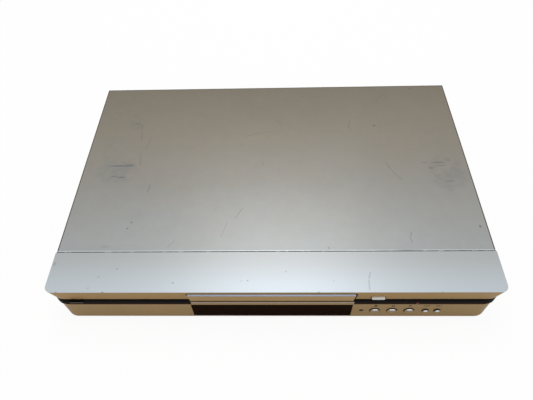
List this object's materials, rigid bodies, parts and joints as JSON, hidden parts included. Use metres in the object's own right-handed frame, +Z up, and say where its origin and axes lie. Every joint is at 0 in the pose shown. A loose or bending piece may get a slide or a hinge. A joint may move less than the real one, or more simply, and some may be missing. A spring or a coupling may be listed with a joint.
{
  "type": "dvd player",
  "caption": "Low disc player with a motor-driven tray, round and bar-shaped keys, a smoked display window, feet and rear sockets.",
  "frame": {"origin": "under the middle of the bounding box, on the plane that the feet stand on", "axes": "+Z up, -Y towards the user in front of the fascia, +X to the user's right"},
  "size_m": [0.43, 0.2965, 0.051],
  "materials": {
    "silver_paint": "satin silver paint on a moulding",
    "champagne_paint": "satin champagne paint on a moulding",
    "cover_paint": "matt brownish grey paint on sheet steel, scuffed",
    "black_gloss": "gloss black",
    "smoked_window": "smoked acrylic",
    "silver_key": "plated silver",
    "lamp_red": "clear red",
    "zinc_steel": "zinc-plated sheet steel",
    "screw_black": "black zinc",
    "foot_plastic": "textured black",
    "foot_rubber": "matt rubber",
    "board_green": "solder mask on glass laminate",
    "board_tan": "paper laminate",
    "tube_glass": "display tube",
    "black_plastic": "moulded, fine texture",
    "tray_plastic": "moulded, fine texture",
    "white_plastic": "acetal",
    "belt_rubber": "smooth rubber",
    "bright_steel": "bright steel",
    "lens_blue": "coated lens in its holder",
    "can_blue": "sleeved can",
    "winding_yellow": "taped winding",
    "heat_aluminium": "extruded",
    "jack_metal": "nickel",
    "jack_colour": "coloured inserts",
    "cable_white": "flat cable"
  },
  "bodies": {
    "root": {"front_panel": "champagne_paint", "left_trim": "black_gloss", "right_trim": "black_gloss", "display_window": "smoked_window", "remote_window": "smoked_window", "standby_lamp": "lamp_red", "top_cover": "cover_paint", "cover_screws": "screw_black", "bottom_chassis": "zinc_steel", "rear_panel": "zinc_steel", "feet": "foot_plastic", "foot_pads": "foot_rubber", "front_board": "board_green", "display_tube": "tube_glass", "key_switches": "black_plastic", "loader_frame": "black_plastic", "drive_belt": "belt_rubber", "loading_motor": "bright_steel", "clamper_bridge": "zinc_steel", "main_board": "board_green", "main_chips": "black_plastic", "board_capacitors": "can_blue", "power_board": "board_tan", "transformer": "winding_yellow", "heat_sink": "heat_aluminium", "mains_fuse": "jack_metal", "mains_inlet": "black_gloss", "jack_housing": "black_plastic", "jack_shells": "jack_metal", "jack_inserts": "jack_colour", "s_video_socket": "black_plastic", "flat_cables": "cable_white", "board_screws": "bright_steel"},
    "tray": {"disc_tray": "tray_plastic", "tray_door": "champagne_paint"},
    "tray_drive_gear": {"tray_gear": "white_plastic"},
    "belt_gear": {"pulley_gear": "white_plastic"},
    "motor_wheel": {"motor_pulley": "white_plastic"},
    "cam": {"cam_slider": "white_plastic"},
    "lift": {"lift_frame": "black_plastic", "rubber_dampers": "belt_rubber", "traverse_deck": "zinc_steel", "spindle_motor": "bright_steel", "guide_rods": "bright_steel", "feed_motor": "bright_steel"},
    "spindle": {"turntable": "black_plastic"},
    "feed": {"feed_screw": "bright_steel"},
    "pickup": {"pickup_sled": "black_plastic"},
    "lens": {"pickup_lens": "lens_blue"},
    "clamp": {"clamper": "black_plastic", "clamper_cap": "bright_steel"},
    "power_button_body": {"power_button": "black_gloss"},
    "open_button_body": {"open_button": "silver_key"},
    "stop_button_body": {"stop_button": "silver_key"},
    "pause_button_body": {"pause_button": "silver_key"},
    "play_button_body": {"play_button": "silver_key"},
    "skip_back_button_body": {"skip_back_button": "silver_key"},
    "skip_forward_button_body": {"skip_forward_button": "silver_key"}
  },
  "joints": [
    {"name": "tray_slide", "type": "slide", "parent": "root", "child": "tray", "axis": [0, -1, 0], "range_m": [0, 0.142]},
    {"name": "tray_gear_turn", "type": "hinge", "parent": "root", "child": "tray_drive_gear", "pos_m": [-0.0561, -0.11605, 0.03], "axis": [0, 0, 1], "range_deg": [-5, 1025]},
    {"name": "belt_gear_turn", "type": "hinge", "parent": "root", "child": "belt_gear", "pos_m": [-0.0369, -0.11605, 0.03], "axis": [0, 0, 1], "range_deg": [-3065, 10]},
    {"name": "motor_pulley_turn", "type": "hinge", "parent": "root", "child": "motor_wheel", "pos_m": [-0.0029, -0.11605, 0.031], "axis": [0, 0, 1], "range_deg": [-9180, 20]},
    {"name": "lift_tilt", "type": "hinge", "parent": "root", "child": "lift", "pos_m": [-0.0016, 0.03175, 0.028], "axis": [-1, 0, 0], "range_deg": [0, 4.5]},
    {"name": "cam_slide", "type": "slide", "parent": "root", "child": "cam", "axis": [1, 0, 0], "range_m": [-0.0002, 0.0142]},
    {"name": "turntable_spin", "type": "hinge", "parent": "lift", "child": "spindle", "pos_m": [-0.0016, -0.06014, 0.02307], "axis": [0, -0.0785, 0.9969], "continuous": true},
    {"name": "pickup_slide", "type": "slide", "parent": "lift", "child": "pickup", "axis": [0, 0.9969, 0.0785], "range_m": [0, 0.0355]},
    {"name": "feed_screw_turn", "type": "hinge", "parent": "lift", "child": "feed", "pos_m": [-0.0306, -0.01977, 0.01993], "axis": [0, 0.9969, 0.0785], "range_deg": [-10, 3210]},
    {"name": "lens_focus", "type": "slide", "parent": "pickup", "child": "lens", "axis": [0, -0.0785, 0.9969], "range_m": [-0.0004, 0.0004], "stiffness_N_per_m": 20},
    {"name": "clamper_spin", "type": "hinge", "parent": "root", "child": "clamp", "pos_m": [-0.0016, -0.06025, 0.047], "axis": [0, 0, 1], "continuous": true},
    {"name": "power_press", "type": "slide", "parent": "root", "child": "power_button_body", "axis": [0, 1, 0], "range_m": [0, 0.0008], "stiffness_N_per_m": 60},
    {"name": "open_press", "type": "slide", "parent": "root", "child": "open_button_body", "axis": [0, 1, 0], "range_m": [0, 0.0008], "stiffness_N_per_m": 60},
    {"name": "stop_press", "type": "slide", "parent": "root", "child": "stop_button_body", "axis": [0, 1, 0], "range_m": [0, 0.0008], "stiffness_N_per_m": 60},
    {"name": "pause_press", "type": "slide", "parent": "root", "child": "pause_button_body", "axis": [0, 1, 0], "range_m": [0, 0.0008], "stiffness_N_per_m": 60},
    {"name": "play_press", "type": "slide", "parent": "root", "child": "play_button_body", "axis": [0, 1, 0], "range_m": [0, 0.0008], "stiffness_N_per_m": 60},
    {"name": "skip_back_press", "type": "slide", "parent": "root", "child": "skip_back_button_body", "axis": [0, 1, 0], "range_m": [0, 0.0008], "stiffness_N_per_m": 60},
    {"name": "skip_forward_press", "type": "slide", "parent": "root", "child": "skip_forward_button_body", "axis": [0, 1, 0], "range_m": [0, 0.0008], "stiffness_N_per_m": 60}
  ],
  "couplings": [
    {"joint": "tray_gear_turn", "follows": "tray_slide", "rad_per_m": 125},
    {"joint": "belt_gear_turn", "follows": "tray_slide", "rad_per_m": -375},
    {"joint": "motor_pulley_turn", "follows": "tray_slide", "rad_per_m": -1125},
    {"joint": "cam_slide", "follows": "lift_tilt", "m_per_rad": 0.17825},
    {"joint": "feed_screw_turn", "follows": "pickup_slide", "rad_per_m": 1570.8}
  ]
}
